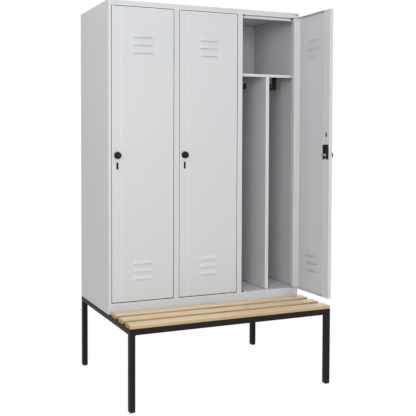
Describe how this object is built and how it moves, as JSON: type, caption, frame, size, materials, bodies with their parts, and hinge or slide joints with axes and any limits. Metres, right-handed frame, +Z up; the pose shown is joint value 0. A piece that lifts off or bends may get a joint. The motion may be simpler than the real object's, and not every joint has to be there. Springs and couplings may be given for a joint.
{
  "type": "locker with bench",
  "caption": "Steel clothes locker with hinged louvred doors, hat shelves and divided hanging spaces, standing on a tube frame with a slatted beech bench in front.",
  "frame": {"origin": "middle of the footprint on the floor, with the right door standing open at a right angle", "axes": "+X to the right along the front, +Y from the bench to the rear, +Z up"},
  "size_m": [1.193, 0.8432, 2.1],
  "materials": {
    "grey_coat": "light grey powder coat, satin",
    "dark_coat": "anthracite powder coat, satin",
    "black_plastic": "moulded, matt",
    "knob_plastic": "moulded, semi-gloss",
    "zinc_steel": "zinc plated",
    "nickel_plate": "nickel plated",
    "beech": "clear lacquer, satin"
  },
  "bodies": {
    "cabinet": {"side_panel_left": "grey_coat", "side_panel_right": "grey_coat", "back_panel": "grey_coat", "top_panel": "grey_coat", "floor_panel": "grey_coat", "partition_1": "grey_coat", "partition_2": "grey_coat", "hat_shelf_1": "grey_coat", "hat_shelf_2": "grey_coat", "hat_shelf_3": "grey_coat", "divider_1": "grey_coat", "divider_2": "grey_coat", "divider_3": "grey_coat", "door_stop_1": "grey_coat", "door_stop_2": "grey_coat", "door_stop_3": "grey_coat", "coat_hook_left_1": "black_plastic", "coat_hook_right_1": "black_plastic", "coat_hook_left_2": "black_plastic", "coat_hook_right_2": "black_plastic", "coat_hook_left_3": "black_plastic", "coat_hook_right_3": "black_plastic", "hinge_pin_upper_1": "black_plastic", "hinge_pin_lower_1": "black_plastic", "hinge_pin_upper_2": "black_plastic", "hinge_pin_lower_2": "black_plastic", "hinge_pin_upper_3": "black_plastic", "hinge_pin_lower_3": "black_plastic", "leg_front_left": "dark_coat", "leg_front_right": "dark_coat", "leg_rear_left": "dark_coat", "leg_rear_right": "dark_coat", "rail_front": "dark_coat", "rail_middle": "dark_coat", "rail_rear": "dark_coat", "rail_left": "dark_coat", "rail_right": "dark_coat", "slat_support": "dark_coat", "foot_front_left": "black_plastic", "foot_front_right": "black_plastic", "foot_rear_left": "black_plastic", "foot_rear_right": "black_plastic", "bench_slat_front": "beech", "bench_slat_middle": "beech", "bench_slat_rear": "beech"},
    "door_1": {"door_panel_1": "grey_coat", "lock_case_1": "black_plastic"},
    "knob_1": {"knob_1": "knob_plastic", "lock_cam_1": "zinc_steel"},
    "key_core_1": {"lock_core_1": "nickel_plate"},
    "door_2": {"door_panel_2": "grey_coat", "lock_case_2": "black_plastic"},
    "knob_2": {"knob_2": "knob_plastic", "lock_cam_2": "zinc_steel"},
    "key_core_2": {"lock_core_2": "nickel_plate"},
    "door_3": {"door_panel_3": "grey_coat", "lock_case_3": "black_plastic"},
    "knob_3": {"knob_3": "knob_plastic", "lock_cam_3": "zinc_steel"},
    "key_core_3": {"lock_core_3": "nickel_plate"}
  },
  "joints": [
    {"name": "door_1_swing", "type": "hinge", "parent": "cabinet", "child": "door_1", "pos_m": [-0.22683, -0.07042, 1.2751], "axis": [0, 0, 1], "range_deg": [0, 105]},
    {"name": "knob_1_turn", "type": "hinge", "parent": "door_1", "child": "knob_1", "pos_m": [-0.547, -0.07842, 1.274], "axis": [0, -1, 0], "range_deg": [0, 180]},
    {"name": "key_core_1_turn", "type": "hinge", "parent": "knob_1", "child": "key_core_1", "pos_m": [-0.547, -0.07842, 1.274], "axis": [0, -1, 0], "range_deg": [0, 90]},
    {"name": "door_2_swing", "type": "hinge", "parent": "cabinet", "child": "door_2", "pos_m": [0.16983, -0.07042, 1.2751], "axis": [0, 0, 1], "range_deg": [0, 105]},
    {"name": "knob_2_turn", "type": "hinge", "parent": "door_2", "child": "knob_2", "pos_m": [-0.15033, -0.07842, 1.274], "axis": [0, -1, 0], "range_deg": [0, 180]},
    {"name": "key_core_2_turn", "type": "hinge", "parent": "knob_2", "child": "key_core_2", "pos_m": [-0.15033, -0.07842, 1.274], "axis": [0, -1, 0], "range_deg": [0, 90]},
    {"name": "door_3_swing", "type": "hinge", "parent": "cabinet", "child": "door_3", "pos_m": [0.5665, -0.07042, 1.2751], "axis": [0, 0, 1], "range_deg": [-90, 15]},
    {"name": "knob_3_turn", "type": "hinge", "parent": "door_3", "child": "knob_3", "pos_m": [0.5745, -0.39058, 1.274], "axis": [1, 0, 0], "range_deg": [0, 180]},
    {"name": "key_core_3_turn", "type": "hinge", "parent": "knob_3", "child": "key_core_3", "pos_m": [0.5745, -0.39058, 1.274], "axis": [1, 0, 0], "range_deg": [0, 90]}
  ]
}
